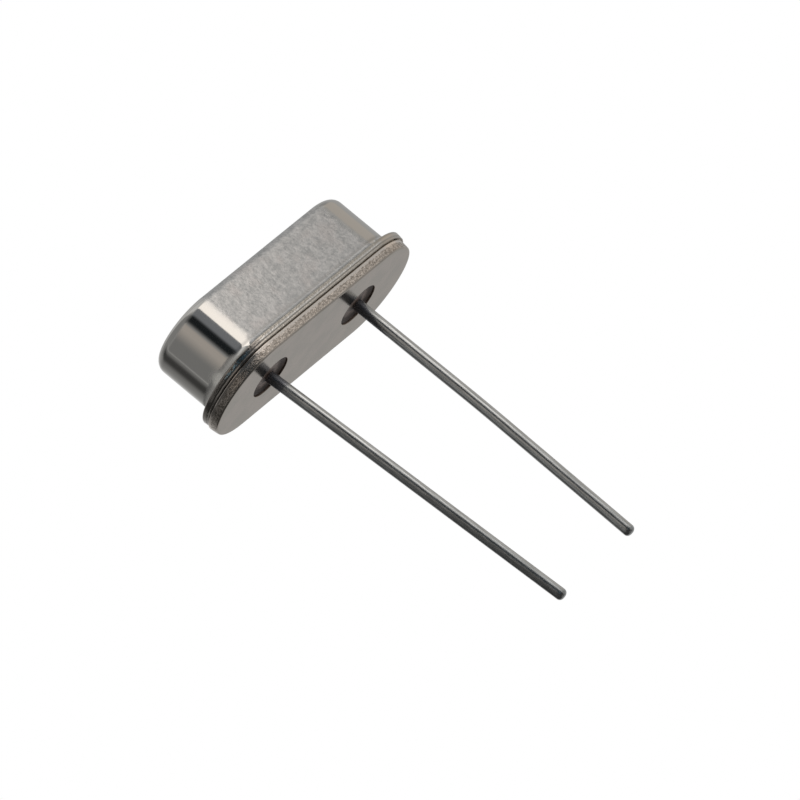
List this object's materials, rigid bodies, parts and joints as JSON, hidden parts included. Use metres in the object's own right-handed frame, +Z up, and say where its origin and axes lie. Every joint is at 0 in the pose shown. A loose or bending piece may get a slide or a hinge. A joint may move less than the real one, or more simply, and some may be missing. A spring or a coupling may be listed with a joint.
{
  "type": "crystal oscillator",
  "caption": "Quartz crystal sealed in a low oval metal can, with a welded header, glass seals and wire leads for a circuit board.",
  "frame": {"origin": "middle of the header's underside, the seating plane, halfway between the two leads", "axes": "+Z up through the can; X along the row of leads; the leads run down towards -Z; Y across the can"},
  "size_m": [0.0104, 0.0044, 0.0157],
  "materials": {
    "can_sheet": "satin drawn nickel silver",
    "header_steel": "nickel-plated stamped steel",
    "seal_glass": "dark fused sealing glass",
    "lead_wire": "tin-plated iron-nickel-cobalt wire",
    "clip_strip": "rolled nickel silver strip",
    "quartz": "lapped quartz",
    "silver_film": "evaporated silver",
    "silver_adhesive": "silver-filled epoxy"
  },
  "bodies": {
    "root": {"can": "can_sheet", "header": "header_steel", "glass_seal_left": "seal_glass", "glass_seal_right": "seal_glass", "lead_left": "lead_wire", "lead_right": "lead_wire", "clip_left": "clip_strip", "clip_right": "clip_strip", "quartz_blank": "quartz", "electrode_upper": "silver_film", "electrode_lower": "silver_film", "adhesive_left": "silver_adhesive", "adhesive_right": "silver_adhesive"}
  },
  "joints": []
}
